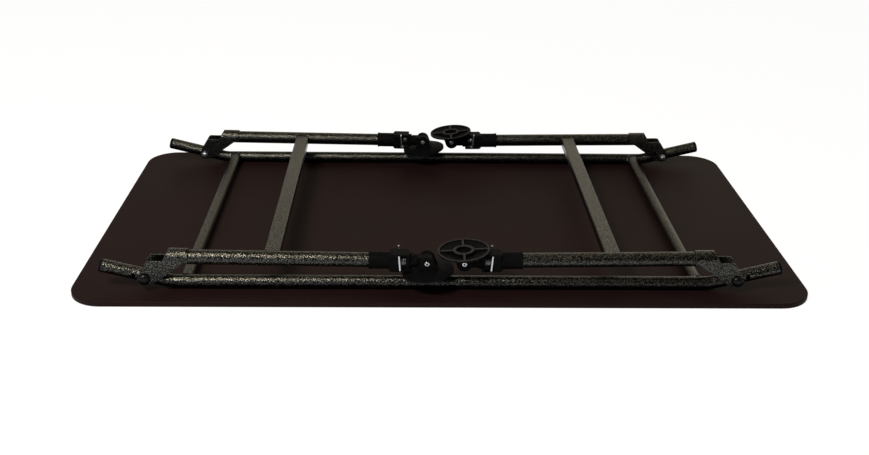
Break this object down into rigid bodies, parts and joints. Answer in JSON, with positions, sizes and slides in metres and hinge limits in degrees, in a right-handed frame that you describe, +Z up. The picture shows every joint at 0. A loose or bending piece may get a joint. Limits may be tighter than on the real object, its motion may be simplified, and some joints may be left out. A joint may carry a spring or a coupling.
{
  "type": "folding table",
  "caption": "Low folding camp table lying on its top, with tubular leg pairs folded over the underside, telescopic plate-locked legs and tilting round feet.",
  "frame": {"origin": "centre of the table top's face, on the plane that the folded table lies on", "axes": "+X along the table's length, +Y across it away from the viewer, +Z up from the face through the folded legs"},
  "size_m": [1.1, 0.62, 0.0755],
  "materials": {
    "film_plywood": "dark brown film-faced plywood with a fine satin grain",
    "hammer_paint": "dark olive grey hammer-finish paint",
    "black_plastic": "moulded black nylon, satin",
    "zinc_steel": "zinc-plated steel",
    "white_nylon": "natural nylon"
  },
  "bodies": {
    "frame": {"table_top": "film_plywood", "top_screws": "zinc_steel", "near_rail": "hammer_paint", "far_rail": "hammer_paint", "rail_end_plugs": "black_plastic", "left_cross_tube": "hammer_paint", "right_cross_tube": "hammer_paint", "pivot_bolts": "zinc_steel", "pivot_nuts": "zinc_steel", "pivot_caps": "black_plastic", "pivot_washers": "white_nylon"},
    "left_legs": {"left_leg_bar": "hammer_paint", "left_near_leg": "hammer_paint", "left_near_hinge_bracket": "hammer_paint", "left_near_lock_housing": "black_plastic", "left_near_lock_spring": "zinc_steel", "left_far_leg": "hammer_paint", "left_far_hinge_bracket": "hammer_paint", "left_far_lock_housing": "black_plastic", "left_far_lock_spring": "zinc_steel"},
    "right_legs": {"right_leg_bar": "hammer_paint", "right_near_leg": "hammer_paint", "right_near_hinge_bracket": "hammer_paint", "right_near_lock_housing": "black_plastic", "right_near_lock_spring": "zinc_steel", "right_far_leg": "hammer_paint", "right_far_hinge_bracket": "hammer_paint", "right_far_lock_housing": "black_plastic", "right_far_lock_spring": "zinc_steel"},
    "left_near_inner": {"left_near_inner_leg": "hammer_paint", "left_near_guide_bush": "white_nylon", "left_near_ankle": "black_plastic"},
    "left_near_tilting_foot": {"left_near_foot": "black_plastic", "left_near_foot_pin": "zinc_steel"},
    "left_near_lock_lever": {"left_near_lock_plate": "zinc_steel"},
    "left_far_inner": {"left_far_inner_leg": "hammer_paint", "left_far_guide_bush": "white_nylon", "left_far_ankle": "black_plastic"},
    "left_far_tilting_foot": {"left_far_foot": "black_plastic", "left_far_foot_pin": "zinc_steel"},
    "left_far_lock_lever": {"left_far_lock_plate": "zinc_steel"},
    "right_near_inner": {"right_near_inner_leg": "hammer_paint", "right_near_guide_bush": "white_nylon", "right_near_ankle": "black_plastic"},
    "right_near_tilting_foot": {"right_near_foot": "black_plastic", "right_near_foot_pin": "zinc_steel"},
    "right_near_lock_lever": {"right_near_lock_plate": "zinc_steel"},
    "right_far_inner": {"right_far_inner_leg": "hammer_paint", "right_far_guide_bush": "white_nylon", "right_far_ankle": "black_plastic"},
    "right_far_tilting_foot": {"right_far_foot": "black_plastic", "right_far_foot_pin": "zinc_steel"},
    "right_far_lock_lever": {"right_far_lock_plate": "zinc_steel"}
  },
  "joints": [
    {"name": "right_legs_fold", "type": "hinge", "parent": "frame", "child": "right_legs", "pos_m": [0.438, 0, 0.02762], "axis": [0, 1, 0], "range_deg": [0, 105]},
    {"name": "left_legs_fold", "type": "hinge", "parent": "frame", "child": "left_legs", "pos_m": [-0.438, 0, 0.02762], "axis": [0, -1, 0], "range_deg": [0, 102]},
    {"name": "left_near_leg_slide", "type": "slide", "parent": "left_legs", "child": "left_near_inner", "axis": [0.9999, 0, -0.0131], "range_m": [0, 0.1]},
    {"name": "left_near_foot_tilt", "type": "hinge", "parent": "left_near_inner", "child": "left_near_tilting_foot", "pos_m": [-0.02373, -0.262, 0.0532], "axis": [0, -1, 0], "range_deg": [0, 72]},
    {"name": "left_near_lock_press", "type": "hinge", "parent": "left_legs", "child": "left_near_lock_lever", "pos_m": [-0.06331, -0.262, 0.03971], "axis": [0, 1, 0], "range_deg": [0, 5], "stiffness_Nm_per_rad": 0.8},
    {"name": "left_far_leg_slide", "type": "slide", "parent": "left_legs", "child": "left_far_inner", "axis": [0.9999, 0, -0.0131], "range_m": [0, 0.1]},
    {"name": "left_far_foot_tilt", "type": "hinge", "parent": "left_far_inner", "child": "left_far_tilting_foot", "pos_m": [-0.02373, 0.262, 0.0532], "axis": [0, -1, 0], "range_deg": [0, 71]},
    {"name": "left_far_lock_press", "type": "hinge", "parent": "left_legs", "child": "left_far_lock_lever", "pos_m": [-0.06331, 0.262, 0.03971], "axis": [0, 1, 0], "range_deg": [0, 5], "stiffness_Nm_per_rad": 0.8},
    {"name": "right_near_leg_slide", "type": "slide", "parent": "right_legs", "child": "right_near_inner", "axis": [-0.9999, 0, -0.0131], "range_m": [0, 0.1]},
    {"name": "right_near_foot_tilt", "type": "hinge", "parent": "right_near_inner", "child": "right_near_tilting_foot", "pos_m": [0.03123, -0.262, 0.05329], "axis": [0, -1, 0], "range_deg": [0, 101]},
    {"name": "right_near_lock_press", "type": "hinge", "parent": "right_legs", "child": "right_near_lock_lever", "pos_m": [0.07081, -0.262, 0.03981], "axis": [0, -1, 0], "range_deg": [0, 5], "stiffness_Nm_per_rad": 0.8},
    {"name": "right_far_leg_slide", "type": "slide", "parent": "right_legs", "child": "right_far_inner", "axis": [-0.9999, 0, -0.0131], "range_m": [0, 0.1]},
    {"name": "right_far_foot_tilt", "type": "hinge", "parent": "right_far_inner", "child": "right_far_tilting_foot", "pos_m": [0.03123, 0.262, 0.05329], "axis": [0, -1, 0], "range_deg": [0, 99]},
    {"name": "right_far_lock_press", "type": "hinge", "parent": "right_legs", "child": "right_far_lock_lever", "pos_m": [0.07081, 0.262, 0.03981], "axis": [0, -1, 0], "range_deg": [0, 5], "stiffness_Nm_per_rad": 0.8}
  ],
  "couplings": [
    {"joint": "left_legs_fold", "follows": "right_legs_fold", "ratio": 0.97143},
    {"joint": "left_near_leg_slide", "follows": "right_legs_fold", "m_per_rad": 0.054567},
    {"joint": "left_near_foot_tilt", "follows": "right_legs_fold", "ratio": 0.68571},
    {"joint": "left_far_leg_slide", "follows": "right_legs_fold", "m_per_rad": 0.054567},
    {"joint": "left_far_foot_tilt", "follows": "right_legs_fold", "ratio": 0.67619},
    {"joint": "right_near_leg_slide", "follows": "right_legs_fold", "m_per_rad": 0.054567},
    {"joint": "right_near_foot_tilt", "follows": "right_legs_fold", "ratio": 0.9619},
    {"joint": "right_far_leg_slide", "follows": "right_legs_fold", "m_per_rad": 0.054567},
    {"joint": "right_far_foot_tilt", "follows": "right_legs_fold", "ratio": 0.94286}
  ]
}
